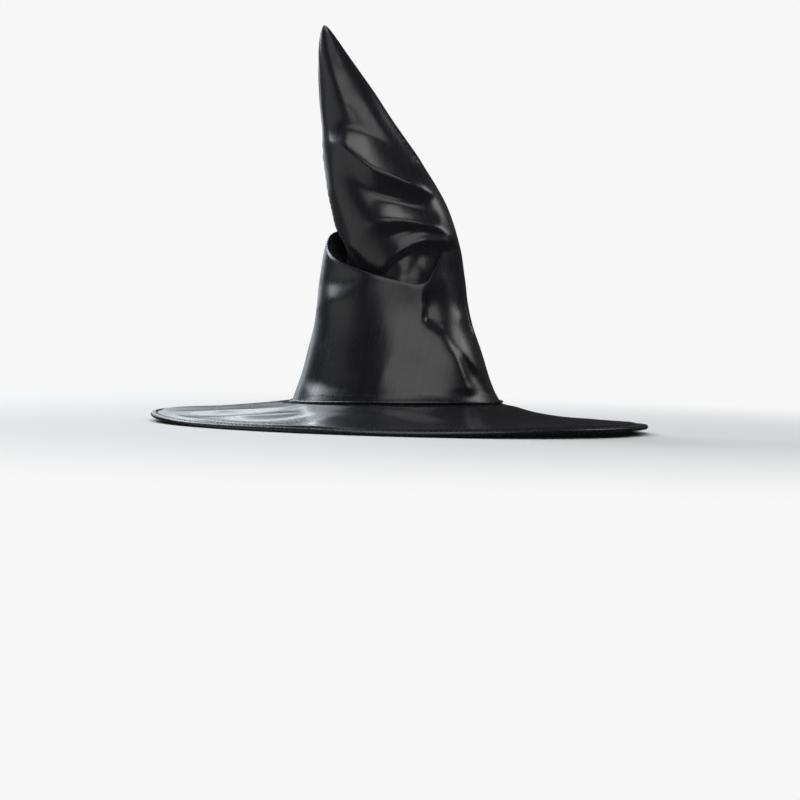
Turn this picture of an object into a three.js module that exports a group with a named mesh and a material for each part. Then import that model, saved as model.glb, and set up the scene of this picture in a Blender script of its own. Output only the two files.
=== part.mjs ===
// A witch hat: a round wired brim, a tall soft crown whose upper part slouches over at a fold,
// and the layers, bands, tapes and threads inside them. Millimetres, +Z up, wearer's front along -Y.
// The origin is the centre of the brim's outline, at the height of the brim's lowest edge.
import * as THREE from "three";

const { cos, sin, PI } = Math;
const { smoothstep, degToRad, clamp } = THREE.MathUtils;

// Overall sizes
const brimDiameter = 420;
const crownHeight = 317; // from the brim's top to the point
const headLength = 192; // inside the sweatband, front to back
const headWidth = 170; // inside the sweatband, side to side

// Cloth and layers
const satinThickness = 0.3;
const liningThickness = 0.3;
const coreThickness = 1.4;
const stiffenerThickness = 0.8;
const sweatbandThickness = 0.8;
const tapeThickness = 0.4;
const gap = 0.3; // between neighbouring layers
const threadSize = 0.5;
const pipingDiameter = 2;

// Brim
const brimRise = 16.5; // how far the brim climbs from its edge to the crown
const riseSwing = 3; // the crown's foot is higher at the front and back, lower at the sides
const riseSwingHeading = degToRad(65);
const riseCurve = 1.3; // over 1 the brim is steeper beside the crown
const edgeLift = 4.2; // how far the edge lifts between its two resting arcs
const restHeading = degToRad(40); // the middle of one resting arc; the other is opposite
const restShare = 0.1; // how much of the edge's wave is flat
const openingSetback = 7; // the crown stands a little behind the brim's centre
const bindingWidth = 5;
const wireDiameter = 1;
const wireInset = 3; // from the brim's edge to the wire's middle
const ferruleLength = 12;
const ferruleWall = 0.2;
const ferruleClearance = 0.1;
const ferruleBore = wireDiameter / 2 + ferruleClearance;
const ferruleRadius = ferruleBore + ferruleWall;
const coreInset = wireInset + ferruleRadius + gap; // the core stops short of the wire and its sleeve
const flatWidth = Math.max(bindingWidth, coreInset + gap); // the brim's edge is flat this far in

// Crown
const foldBottom = 92; // above the brim's top: where the stiffener stops and the cloth creases
const foldTop = 147; // above the brim's top: where the slouched point begins
const slouchAngle = degToRad(21.4);
const slouchHeading = degToRad(155); // the side that the point leans to
const foldLean = 7; // how far the crown has moved sideways at the top of the fold
// The crown's outline: its half width as a share of its foot's, at shares of its height.
const outlineHeights = [0, 0.07, 0.13, 0.23, 0.34, 0.41, 0.46, 0.55, 0.64, 0.74, 0.87, 1];
const outlineWidths = [1, 0.875, 0.805, 0.7, 0.635, 0.585, 0.52, 0.486, 0.417, 0.317, 0.185, 0];

// Trim
const sweatbandHeight = 30;
const seamTapeHeight = 12;
const liningSeamHeight = 6; // the seam thread's height above the crown's foot
const labelHeight = 16;
const labelFoot = 8;

const ringSegments = 36;
const brimStations = 6; // steps between the opening and the flat edge
const facetAngle = (2 * PI) / ringSegments;
const backHeading = PI / 2;

// Radii are measured along Y, where the oval opening is longest.
const brimRadius = brimDiameter / 2;
const bandRadius = headLength / 2;
const openingRadius = bandRadius + sweatbandThickness + gap;
const ovalInset = (headLength - headWidth) / 2;

// How far inside the crown's outer face each layer's outer face lies
const liningDepth = satinThickness + gap + stiffenerThickness + gap;
const tapeDepth = liningDepth + liningThickness + gap;
const sweatbandDepth = tapeDepth + tapeThickness + gap;
const crownRadius = bandRadius + sweatbandThickness + sweatbandDepth;

// Heights in the brim's stack, from the binding's underside
const bottomSatinFoot = satinThickness + gap;
const coreFoot = bottomSatinFoot + satinThickness + gap;
const topSatinFoot = coreFoot + coreThickness + gap;
const brimTop = topSatinFoot + satinThickness;
const bindingTop = brimTop + gap + satinThickness;
const crownFoot = brimTop + gap;
const crownTop = crownFoot + crownHeight;
const foldFoot = crownFoot + foldBottom;
const tipFoot = crownFoot + foldTop;

const satin = new THREE.MeshStandardMaterial({ color: 0x17181c, roughness: 0.32, metalness: 0.05 });
const liningCloth = new THREE.MeshStandardMaterial({ color: 0x101012, roughness: 0.85, metalness: 0 });
const stiffening = new THREE.MeshStandardMaterial({ color: 0x2b2b2d, roughness: 0.95, metalness: 0 });
const foam = new THREE.MeshStandardMaterial({ color: 0x202022, roughness: 0.95, metalness: 0 });
const ribbon = new THREE.MeshStandardMaterial({ color: 0x141416, roughness: 0.6, metalness: 0 });
const thread = new THREE.MeshStandardMaterial({ color: 0x0e0e10, roughness: 0.55, metalness: 0 });
const steel = new THREE.MeshStandardMaterial({ color: 0xa8abb0, roughness: 0.35, metalness: 0.9 });
const labelCloth = new THREE.MeshStandardMaterial({ color: 0xdcdcd8, roughness: 0.7, metalness: 0 });

// The brim's climb at a share of the way out from the opening: 0 at the opening, 1 at the edge.
function brimClimb(outward, heading, crownShare) {
  const edge = edgeLift * smoothstep(sin(heading - restHeading) ** 2, restShare, 1);
  const foot = brimRise + riseSwing * crownShare * cos(2 * (heading - riseSwingHeading));
  const climbEnd = 1 - flatWidth / (brimRadius - openingRadius);
  const inward = clamp(1 - outward / climbEnd, 0, 1) ** riseCurve;
  return edge * crownShare * (1 - inward) + foot * inward;
}

// How far the crown's middle has moved sideways at a height above the brim's underside.
function lean(height) {
  const share = clamp((height - crownFoot) / foldTop, 0, 1);
  const aboveFold = Math.max(height - tipFoot, 0);
  return foldLean * share ** 2 + aboveFold * Math.tan(slouchAngle);
}

// Moves a point of a plain round hat, given by radius, heading and height, to its place on the hat:
// oval at the head, round at the brim's edge and the fold, with the brim's climb and the slouch.
function place(radius, heading, height) {
  const outward = clamp((radius - openingRadius) / (brimRadius - openingRadius), 0, 1);
  const crownShare = 1 - smoothstep(height, crownFoot, tipFoot);
  const inset = ovalInset * (1 - outward) * crownShare;
  const shift = lean(height);
  return new THREE.Vector3(
    (radius - inset) * cos(heading) + shift * cos(slouchHeading),
    radius * sin(heading) + openingSetback * (1 - outward) + shift * sin(slouchHeading),
    height + brimClimb(outward, heading, crownShare),
  );
}

// The crown's half width at a height, less how deep under its outer face a layer lies.
function crownWall(height, depth) {
  const share = clamp((height - crownFoot) / crownHeight, 0, 1);
  const next = Math.max(outlineHeights.findIndex((h) => h >= share), 1);
  const [low, high] = [outlineHeights[next - 1], outlineHeights[next]];
  const width = THREE.MathUtils.mapLinear(share, low, high, outlineWidths[next - 1], outlineWidths[next]);
  return Math.max(crownRadius * width - depth, 0);
}

// The heights at which a layer of the crown has a ring: its two ends, the outline's own heights and,
// where the oval turns round, the heights half way between them.
function wallHeights(foot, top) {
  const corners = outlineHeights.map((share) => crownFoot + share * crownHeight);
  const halfway = corners.slice(1).map((corner, i) => (corner + corners[i]) / 2);
  const rings = [...corners, ...halfway.filter((height) => height < tipFoot)];
  const between = rings.filter((height) => height > foot + 1 && height < top - 1);
  return [foot, ...between.sort((a, b) => a - b), top];
}

function reshape(geometry, move) {
  const positions = geometry.getAttribute("position");
  for (let i = 0; i < positions.count; i++) {
    const moved = move(positions.getX(i), positions.getY(i), positions.getZ(i));
    positions.setXYZ(i, moved.x, moved.y, moved.z);
  }
  geometry.computeVertexNormals();
  return geometry;
}

// A ring round the hat whose section is a list of [radius, height] points, anticlockwise.
function hatRing(section) {
  const points = section.map(([radius, height]) => new THREE.Vector2(radius, height));
  const lathe = new THREE.LatheGeometry(points, ringSegments);
  return reshape(lathe, (x, y, z) => place(Math.hypot(x, z), Math.atan2(x, z), y));
}

function closedRing(section) {
  return hatRing([...section, section[0]]);
}

// A layer of the brim between two radii, with rings enough to follow the climb.
function brimLayer(inner, outer, foot, thickness) {
  const step = (brimRadius - flatWidth - inner) / brimStations;
  const radii = Array.from({ length: brimStations + 1 }, (_, i) => inner + i * step);
  radii.push(outer);
  const underside = radii.map((radius) => [radius, foot]);
  const topside = radii.toReversed().map((radius) => [radius, foot + thickness]);
  return closedRing([...underside, ...topside]);
}

// A wall of the crown between two heights, a depth under the crown's outer face.
function crownLayer(foot, top, depth, thickness) {
  const heights = wallHeights(foot, top);
  const outside = heights.map((height) => [crownWall(height, depth), height]);
  const inside = heights.toReversed().map((height) => [crownWall(height, depth + thickness), height]);
  return closedRing([...outside, ...inside]);
}

// The height at which a layer's wall reaches the crown's middle.
function pointHeight(depth) {
  const [low, high] = outlineHeights.slice(-2);
  const slope = (outlineWidths.at(-2) * crownRadius) / ((high - low) * crownHeight);
  return crownTop - depth / slope;
}

// The closed point of a layer, from a foot up to its own peak.
function crownPoint(foot, depth, thickness) {
  const innerPeak = pointHeight(depth + thickness);
  const outerPeak = pointHeight(depth);
  const inside = wallHeights(foot, innerPeak).toReversed().slice(1);
  const outside = wallHeights(foot, outerPeak).slice(0, -1);
  return hatRing([
    [0, innerPeak],
    ...inside.map((height) => [crownWall(height, depth + thickness), height]),
    ...outside.map((height) => [crownWall(height, depth), height]),
    [0, outerPeak],
  ]);
}

// A strip one facet wide on the inside of the crown, its outer face a depth under the crown's.
function wallStrip(foot, top, depth, thickness, heading) {
  const heights = wallHeights(foot, top);
  const steps = heights.length - 1;
  const box = new THREE.BoxGeometry(1, 1, steps, 1, 1, steps).translate(0.5, 0.5, steps / 2);
  return reshape(box, (out, turn, step) => {
    const height = heights[Math.round(step)];
    const radius = crownWall(height, depth + thickness * (1 - out));
    return place(radius, heading + facetAngle * turn, height);
  });
}

function squareThread(radius, height) {
  const far = radius + threadSize;
  const high = height + threadSize;
  return closedRing([[radius, height], [far, height], [far, high], [radius, high]]);
}

function roundRing(radius, height, diameter, sides) {
  const corners = Array.from({ length: sides }, (_, i) => (i * 2 * PI) / sides);
  return closedRing(
    corners.map((turn) => [radius + (diameter / 2) * cos(turn), height + (diameter / 2) * sin(turn)]),
  );
}

const hat = new THREE.Group();

function addPiece(name, geometry, material) {
  const mesh = new THREE.Mesh(geometry, material);
  mesh.name = name;
  hat.add(mesh);
  return mesh;
}

// The folded strip of satin that covers the brim's edge, open towards the crown
function bindingSection() {
  const inner = brimRadius - bindingWidth;
  const wall = brimRadius - satinThickness;
  return [
    [inner, 0],
    [brimRadius, 0],
    [brimRadius, bindingTop],
    [inner, bindingTop],
    [inner, bindingTop - satinThickness],
    [wall, bindingTop - satinThickness],
    [wall, satinThickness],
    [inner, satinThickness],
  ];
}

function addBrim() {
  const clothEdge = brimRadius - satinThickness - gap;
  const wireRadius = brimRadius - wireInset;
  const wireHeight = coreFoot + coreThickness / 2;
  const coreEdge = brimRadius - coreInset;
  addPiece("brim_bottom", brimLayer(openingRadius, clothEdge, bottomSatinFoot, satinThickness), satin);
  addPiece("brim_core", brimLayer(openingRadius, coreEdge, coreFoot, coreThickness), foam);
  addPiece("brim_top", brimLayer(openingRadius, clothEdge, topSatinFoot, satinThickness), satin);
  addPiece("edge_binding", closedRing(bindingSection()), satin);
  addPiece("brim_wire", roundRing(wireRadius, wireHeight, wireDiameter, 6), steel);
  addPiece("wire_ferrule", ferrule(), steel).applyMatrix4(ferrulePlace(wireRadius, wireHeight));
  const threadRadius = brimRadius - bindingWidth + 1;
  addPiece("edge_stitching", squareThread(threadRadius, bindingTop + gap), thread);
}

// The crimped sleeve that joins the wire's two ends, at the back of the hat
function ferrule() {
  const section = new THREE.Shape().absarc(0, 0, ferruleRadius, 0, 2 * PI);
  section.holes.push(new THREE.Path().absarc(0, 0, ferruleBore, 0, 2 * PI, true));
  const sleeve = new THREE.ExtrudeGeometry(section, {
    depth: ferruleLength,
    curveSegments: 10,
    bevelEnabled: false,
  });
  return sleeve.translate(0, 0, -ferruleLength / 2);
}

// The middle of the wire's straight facet at the back, with local Z along the wire
function ferrulePlace(wireRadius, wireHeight) {
  const start = place(wireRadius, backHeading, wireHeight);
  const end = place(wireRadius, backHeading + facetAngle, wireHeight);
  const along = end.clone().sub(start).normalize();
  const turn = new THREE.Quaternion().setFromUnitVectors(new THREE.Vector3(0, 0, 1), along);
  const middle = start.lerp(end, 0.5);
  return new THREE.Matrix4().compose(middle, turn, new THREE.Vector3(1, 1, 1));
}

function addCrown() {
  const foldEnd = tipFoot - gap;
  const lowerTop = foldFoot - gap;
  addPiece("crown_lower", crownLayer(crownFoot, lowerTop, 0, satinThickness), satin);
  addPiece("crown_fold", crownLayer(foldFoot, foldEnd, 0, satinThickness), satin);
  addPiece("crown_tip", crownPoint(tipFoot, 0, satinThickness), satin);
  addPiece(
    "crown_stiffener",
    crownLayer(crownFoot, lowerTop, satinThickness + gap, stiffenerThickness),
    stiffening,
  );
  addPiece("lining_lower", crownLayer(crownFoot, lowerTop, liningDepth, liningThickness), liningCloth);
  addPiece("lining_fold", crownLayer(foldFoot, foldEnd, liningDepth, liningThickness), liningCloth);
  addPiece("lining_tip", crownPoint(tipFoot, liningDepth, liningThickness), liningCloth);
}

function addTrim() {
  const tapeTop = crownFoot + seamTapeHeight;
  const sweatbandTop = crownFoot + sweatbandHeight;
  addPiece("seam_tape", crownLayer(crownFoot, tapeTop, tapeDepth, tapeThickness), ribbon);
  addPiece("sweatband", crownLayer(satinThickness, sweatbandTop, sweatbandDepth, sweatbandThickness), ribbon);

  const backTapeFoot = sweatbandTop + gap;
  const backTapeEnd = crownFoot + foldTop + (crownHeight - foldTop) / 2;
  const lowerTop = foldFoot - gap;
  addPiece("back_tape_lower", wallStrip(backTapeFoot, lowerTop, tapeDepth, tapeThickness, backHeading), ribbon);
  addPiece("back_tape_tip", wallStrip(tipFoot, backTapeEnd, tapeDepth, tapeThickness, backHeading), ribbon);

  const labelDepth = sweatbandDepth + sweatbandThickness + gap;
  const labelTop = crownFoot + labelFoot + labelHeight;
  const labelHeading = backHeading - facetAngle;
  addPiece(
    "care_label",
    wallStrip(crownFoot + labelFoot, labelTop, labelDepth, tapeThickness, labelHeading),
    labelCloth,
  );

  const pipingRadius = crownRadius + gap + pipingDiameter / 2;
  const pipingHeight = crownFoot + pipingDiameter / 2;
  addPiece("base_piping", roundRing(pipingRadius, pipingHeight, pipingDiameter, 6), satin);

  const seamHeight = crownFoot + pipingDiameter + liningSeamHeight;
  addPiece("crown_stitching", squareThread(crownWall(seamHeight, -gap), seamHeight), thread);
  const bandStitchRadius = bandRadius - gap - threadSize;
  addPiece("sweatband_stitching", squareThread(bandStitchRadius, satinThickness + gap), thread);
}

addBrim();
addCrown();
addTrim();

export default hat;
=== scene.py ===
"""A black satin witch hat on a pale floor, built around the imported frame. Lengths are in millimetres
until a mesh is made; headings are counterclockwise from +X, seen from above."""

import math

import bpy
import numpy as np
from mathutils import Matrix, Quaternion, Vector


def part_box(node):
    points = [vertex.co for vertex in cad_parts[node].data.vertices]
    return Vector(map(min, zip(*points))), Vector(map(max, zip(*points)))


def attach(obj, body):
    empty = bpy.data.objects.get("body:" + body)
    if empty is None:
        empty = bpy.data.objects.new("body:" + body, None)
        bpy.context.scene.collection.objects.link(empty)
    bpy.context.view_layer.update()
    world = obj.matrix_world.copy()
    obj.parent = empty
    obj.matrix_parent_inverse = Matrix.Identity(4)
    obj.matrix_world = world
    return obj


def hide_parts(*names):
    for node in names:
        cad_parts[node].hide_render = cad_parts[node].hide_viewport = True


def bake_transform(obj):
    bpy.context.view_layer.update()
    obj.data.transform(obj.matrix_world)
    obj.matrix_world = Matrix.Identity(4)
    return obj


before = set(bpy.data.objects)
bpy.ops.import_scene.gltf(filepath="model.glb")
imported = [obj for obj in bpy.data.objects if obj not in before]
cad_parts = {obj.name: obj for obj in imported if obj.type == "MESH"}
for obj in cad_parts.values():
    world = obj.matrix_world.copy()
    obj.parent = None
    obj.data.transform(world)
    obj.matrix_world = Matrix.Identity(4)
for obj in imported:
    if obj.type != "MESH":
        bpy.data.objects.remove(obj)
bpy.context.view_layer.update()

MM = 0.001
TURN = 2 * math.pi

# ---------------------------------------------------------------- sizes from the frame


def node_box(node):
    """A CAD node's lowest and highest corners, in millimetres."""
    low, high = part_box(node)
    return np.array(low) / MM, np.array(high) / MM


BRIM_RADIUS = node_box("edge_binding")[1][0]
APEX_HEIGHT = node_box("crown_tip")[1][2]
FOOT_LOW, FOOT_HIGH = node_box("crown_lower")
SETBACK = (FOOT_LOW[1] + FOOT_HIGH[1]) / 2
FOOT_HALF_X = (FOOT_HIGH[0] - FOOT_LOW[0]) / 2
FOOT_HALF_Y = (FOOT_HIGH[1] - FOOT_LOW[1]) / 2

# The brim climbs to the crown's foot, and its edge lifts a little between its two resting arcs.
BRIM_RISE = 16.5
RISE_SWING = 0.8
RISE_SWING_HEADING = math.radians(65)
FOOT_LIFT = 1.0
FOOT_TILT = 2.3
FOOT_TILT_HEADING = math.radians(335)
RISE_CURVE = 2.3
RISE_CURVE_SWING = 1.0
EDGE_LIFT = 4.2
REST_HEADING = math.radians(40)
REST_SHARE = 0.1
FLAT_WIDTH = 5.0
BRIM_TOP = 3.2
BINDING_WIDTH = 5.5
BINDING_THICK = 3.8
CROWN_FOOT = BRIM_RISE + 3.5
LINING_DEPTH = 1.8
SWEATBAND_DEPTH = 3.0
STIFFENER_TOP = 107
OPENING_HALF_Y = FOOT_HALF_Y - 2.7
OVAL_INSET = FOOT_HALF_Y - FOOT_HALF_X

# Folds are placed by how far across they are, seen from the side that faces the camera.
FRONT_HEADING = math.radians(245)
RIGHT = np.array([math.cos(FRONT_HEADING + TURN / 4), math.sin(FRONT_HEADING + TURN / 4)])
TOWARD = np.array([math.cos(FRONT_HEADING), math.sin(FRONT_HEADING)])


def smoothstep(x, low, high):
    """0 below low, 1 above high, and a soft S between them."""
    t = np.clip((x - low) / (high - low), 0, 1)
    return t * t * (3 - 2 * t)


def cubic_pieces(knots, values, slopes, x):
    """The value at x of cubic pieces that meet the knots with the given slopes."""
    i = np.clip(np.searchsorted(knots, x, side="right") - 1, 0, len(knots) - 2)
    width = knots[i + 1] - knots[i]
    t = (x - knots[i]) / width
    if values.ndim > 1:
        width, t = width[:, None], t[:, None]
    start = (2 * t**3 - 3 * t**2 + 1) * values[i] + (t**3 - 2 * t**2 + t) * width * slopes[i]
    return start + (3 * t**2 - 2 * t**3) * values[i + 1] + (t**3 - t**2) * width * slopes[i + 1]


def smooth_curve(points, x):
    """The value at x of a smooth curve through (position, value) points."""
    knots, values = np.array(points, float).T
    x = np.clip(x, knots[0], knots[-1])
    return cubic_pieces(knots, values, np.gradient(values, knots), x)


# ---------------------------------------------------------------- the brim's shape


def foot_swing(heading):
    """How much higher the crown's foot is than the brim's even climb would put it."""
    tilt = FOOT_TILT * np.cos(heading - FOOT_TILT_HEADING)
    return FOOT_LIFT + tilt + RISE_SWING * np.cos(2 * (heading - RISE_SWING_HEADING))


def share_inside_edge(inset):
    """The share of the way out from the opening that lies this far inside the brim's edge."""
    return 1 - inset / (BRIM_RADIUS - OPENING_HALF_Y)


def brim_climb(heading, outward):
    """The height of the brim's underside at a share of the way out from the opening."""
    edge = EDGE_LIFT * smoothstep(np.sin(heading - REST_HEADING) ** 2, REST_SHARE, 1)
    climb_end = share_inside_edge(FLAT_WIDTH)
    curve = RISE_CURVE + RISE_CURVE_SWING * np.cos(heading - FOOT_TILT_HEADING)
    inward = np.clip(1 - outward / climb_end, 0, 1) ** curve
    return edge * (1 - inward) + (BRIM_RISE + foot_swing(heading)) * inward


def brim_point(heading, outward, height):
    """A point of the brim: the oval opening at outward 0, the round edge at 1."""
    radius = OPENING_HALF_Y + outward * (BRIM_RADIUS - OPENING_HALF_Y)
    x = (radius - OVAL_INSET * (1 - outward)) * np.cos(heading)
    y = radius * np.sin(heading) + SETBACK * (1 - outward)
    return np.stack([x, y, height + brim_climb(heading, outward)], axis=-1)


# ---------------------------------------------------------------- the crown's shape

# How far across the crown's left and right walls stand at each height.
# Above the fold the left wall is another one, which starts inside the lower crown.
LEFT_WALL = [(14, -95.5), (20, -92.5), (34, -87.6), (60, -80.4), (93, -74), (127, -71),
             (152, -67.5), (175, -61)]
RIGHT_WALL = [(14, 89.6), (20, 85.4), (27, 81), (34, 77.8), (60, 68.5), (93, 57.5), (127, 51.2),
              (154, 46), (174, 39.7), (194, 30.5), (221, 12.7), (250, -8.3), (280, -29.4), (310, -52),
              (330, -67), (337, -72.5)]
UPPER_LEFT = [(90, -50), (150, -56.5), (167, -60.4), (194, -66.7), (241, -73.3), (280, -77),
              (308, -78.9), (325, -78.6), (337, -77)]
# How wide the crown is across +X for its depth along +Y, at each height.
ROUNDNESS = [(14, 0.89), (40, 0.9), (90, 0.95), (150, 1.0), (337, 1.0)]
# By degrees round from the front: how high the lower crown's rim is, and how much cloth is tucked in it.
RIM_HEIGHT = [(-180, 168), (-130, 167), (-100, 160), (-82, 152), (-50, 137.5), (-28, 131), (-8, 125),
              (8, 121), (20, 119.5), (27, 123), (34, 133), (42, 146), (52, 152), (90, 155), (180, 168)]
FOLD_SHARE = [(-180, 0), (-160, 0.05), (-140, 0.3), (-112, 0.9), (-100, 1), (-60, 1), (20, 1),
              (29, 0.9), (37, 0.55), (45, 0.15), (54, 0), (90, 0), (150, 0), (180, 0)]
# How far in the tucked cloth hangs, and how deep the tuck goes below the rim.
TUCK_GAP = [(-180, 4), (-110, 7), (-62, 6.5), (-38, 3), (-15, 1.6), (30, 1.6), (60, 3), (180, 4)]
TUCK_DEPTH = 24
# How far the whole crown leans to the right, for each millimetre up.
LEAN = 0.006
# Where along the satin's way up the tuck's bends come.
PATH_KNOTS = np.array([0, 0.365, 0.38, 0.42, 0.46, 0.5, 1])
CROWN_ROWS = 330
CROWN_COLUMNS = 480


def crown_wall(heading, height, left_wall, right_wall=RIGHT_WALL, depth=0.0):
    """A point of the crown at a height, between its left and right walls: oval at the foot, then round."""
    left = smooth_curve(left_wall, height)
    right = smooth_curve(right_wall, height)
    roundness = smooth_curve(ROUNDNESS, height)
    half_y = (right - left) / 2 / np.hypot(roundness * RIGHT[0], RIGHT[1])
    across = (left + right) / 2 + LEAN * height
    centre_x = across * RIGHT[0] + SETBACK * TOWARD[1] * TOWARD[0]
    centre_y = across * RIGHT[1] + SETBACK * TOWARD[1] * TOWARD[1]
    x = centre_x + (half_y * roundness - depth) * np.cos(heading)
    y = centre_y + (half_y - depth) * np.sin(heading)
    z = height + foot_swing(heading) * (1 - smoothstep(height, 20, 167))
    return np.stack(np.broadcast_arrays(x, y, z), axis=-1)


def front_degrees(heading):
    """Degrees round the hat from the camera's side, positive towards the camera's right."""
    return (np.degrees(heading - FRONT_HEADING) + 180) % 360 - 180


def crown_paths(headings, rows):
    """For each row and column, the height on the crown and how far it has passed from the lower wall
    (0) to the upper one (1). Where cloth is tucked, the path goes up, back down inside, then up."""
    degrees = front_degrees(headings)
    rim = smooth_curve(RIM_HEIGHT, degrees)
    fold = np.clip(smooth_curve(FOLD_SHARE, degrees), 0, 1)
    zeros = np.zeros_like(rim)
    straight = np.stack([rim - 7, rim - 5, rim, rim + 5, rim + 10])
    folded = np.stack([rim - 2.6, rim, rim - TUCK_DEPTH / 2, rim - TUCK_DEPTH, rim + 4])
    middle = straight * (1 - fold) + folded * fold
    heights = np.vstack([zeros + CROWN_FOOT, middle, zeros + APEX_HEIGHT])
    shares = np.stack([zeros + share for share in (0, 0, 0.04, 0.5, 0.92, 1, 1)])
    t = np.linspace(0, 1, rows)
    knots = PATH_KNOTS
    height = cubic_pieces(knots, heights, np.gradient(heights, knots, axis=0), t)
    share = np.clip(cubic_pieces(knots, shares, np.gradient(shares, knots, axis=0), t), 0, 1)
    return height, share, rim, fold


# ---------------------------------------------------------------- creases

# Ridges and valleys as lines of (across, height, lift): the cloth is stretched smoothly between them.
# The upper lines lie above the fold and the lower ones below it.
FRONT_UPPER = [
    [(-76, 235, 0.2), (-66, 237, 1.1), (-56, 238, 3.2), (-49, 232, 5.6), (-29, 216, 8), (1, 204, 6.5),
     (21, 196.5, 2)],
    [(-45, 149, 1.5), (-38, 162, 4), (-25, 171, 6.5), (-5, 174, 7.5), (22, 169, 7), (34, 162, 5),
     (42, 154, 2)],
    [(-25, 123, 1), (-15, 136, 4), (-3, 148, 6), (15, 157, 7), (32, 156, 5.5), (42, 150, 2)],
    [(-16, 127, 1.0), (-7, 138, 2.5), (5, 147, 3), (16, 152, 3.5), (28, 151, 3), (35, 148, 1.5)],
    [(14, 146, 2), (8, 137, 2.4), (4, 126, 3.4)],
    [(18, 145, 2), (21, 137, 2.4), (23, 130, 3.2)],
]
FRONT_UPPER_SOFT = [
    [(-66, 256, -1.5), (-49, 251, -3.5), (-29, 243, -4.5), (-9, 231, -4.5), (8, 217, -2.5)],
    [(-56, 233, 3.5), (-49, 227.5, 3.5), (-29, 211, 3.5), (1, 199, 2.5), (18, 193, 0.5)],
    [(-48, 212, -0.5), (-36, 201, -3.5), (-20, 192, -4.5), (5, 184, -3.5), (22, 179, -1)],
    [(-64, 228, 1), (-60, 205, 2.5), (-52, 182, 3), (-46, 162, 2.5), (-45, 148, 1.5)],
    [(-36, 146, 0.5), (-22, 156, 1.5), (-5, 163, 2.5), (12, 165, 3), (27, 162, 3)],
    [(16, 145, 2.4), (14, 134, 2.6), (12, 120, 4)],
    [(10, 141, 3.2), (0, 130, 4.4)],
    [(15, 141, 3.2), (13, 126, 4.6)],
    [(-30, 122, 2), (-20, 118, 4), (-5, 114, 6), (10, 111, 6.5), (22, 114, 4)],
    [(-74, 322, 0.5), (-64, 292, 2), (-52, 268, 1.5)],
    [(-77, 308, -0.5), (-74, 285, -1.5), (-70, 268, -0.5)],
]
FRONT_LOWER = [
    [(16, 119, 1.5), (17, 101, 2.5), (16.5, 87, 2)],
    [(20, 112, -0.5), (20.5, 100, -1.6), (21, 91, -1.2)],
    [(18, 86, 1.6), (32, 79, 3.4), (44, 60, 5.2), (50, 45, 4.4), (60, 27, 1.2)],
    [(31, 88, 2), (41, 74, 3.5), (63, 50, 2.5), (76, 31, 0.5)],
    [(12, 84, 2), (-4, 64, 2), (-14, 46, 1.5), (-22, 30, 0.5)],
]
FRONT_LOWER_SOFT = [
    [(-70, 121, -1.0), (-58, 121, -2.2), (-46, 122, -2.2), (-38, 124, -1.2)],
    [(-74, 101, 0.5), (-64, 103, 1.8), (-52, 105, 2.6), (-42, 108, 2.8), (-35, 115, 2.6), (-34, 124, 1.5)],
    [(28, 94, 0.6), (34, 98, 1.0), (39, 99, 0.5)],
    [(27, 87, -0.8), (39, 75, -1.8), (55, 55, -2.4), (65, 38, -1.6), (70, 27, 0)],
    [(36, 91, 2.5), (46, 94, 2.2), (54, 92, 1)],
    [(-84, 38, -0.8), (-68, 36, -2), (-48, 34, -1.6), (-34, 31, -0.3)],
]
BACK_UPPER = [
    [(-70, 226, 1), (-40, 214, 5), (-10, 192, 6), (20, 185, 2)],
    [(-52, 174, 1), (-30, 183, 4.5), (8, 173, 5), (36, 158, 2)],
]
BACK_UPPER_SOFT = [
    [(-60, 214, -1), (-34, 203, -2.5), (-8, 181, -2.5), (18, 176, -1)],
    [(-66, 262, 1), (-44, 250, 2.5), (-18, 238, 1)],
    [(-60, 250, -1), (-36, 238, -2.5), (-12, 224, -1)],
]
BACK_LOWER = [
    [(-52, 148, 1), (-24, 100, 2.5), (-34, 40, 1)],
    [(-6, 120, 1), (4, 76, 2), (-2, 30, 0.5)],
]
BACK_LOWER_SOFT = [
    [(8, 140, 0), (22, 92, -2.5), (50, 44, -1)],
    [(-70, 72, 0), (-44, 66, -2), (-24, 84, -1)],
]
RELIEF_STEP = 1.25
RELIEF_REACH = 110
RELIEF_ACROSS = np.arange(-RELIEF_REACH, RELIEF_REACH + 0.1, RELIEF_STEP)
RELIEF_HEIGHT = np.arange(0, 350.1, RELIEF_STEP)


def draw_lines(lines, lift, fixed, step, first_column, first_row):
    """Sets a height map on lines of (across, up, lift) points, and marks those cells as fixed."""
    for line in lines:
        for start, end in zip(line[:-1], line[1:]):
            count = 2 + int(math.hypot(end[0] - start[0], end[1] - start[1]) / step * 2)
            for share in np.linspace(0, 1, count):
                u, v, d = (a + (b - a) * share for a, b in zip(start, end))
                cell = round((v - first_row) / step), round((u - first_column) / step)
                lift[cell] = d
                fixed[cell] = True


def relax(lift, free, rounds, keep=1.0):
    """Moves each free cell to the mean of its neighbours, over and over, as a film stretches."""
    for _ in range(rounds):
        spread = (np.roll(lift, 1, 0) + np.roll(lift, -1, 0) + np.roll(lift, 1, 1) + np.roll(lift, -1, 1)) / 4
        lift[free] = spread[free] * keep


def blur(lift, rounds):
    """Softens a height map."""
    for _ in range(rounds):
        for axis in (0, 1):
            lift = (np.roll(lift, 1, axis) + 2 * lift + np.roll(lift, -1, axis)) / 4
    return lift


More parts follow.
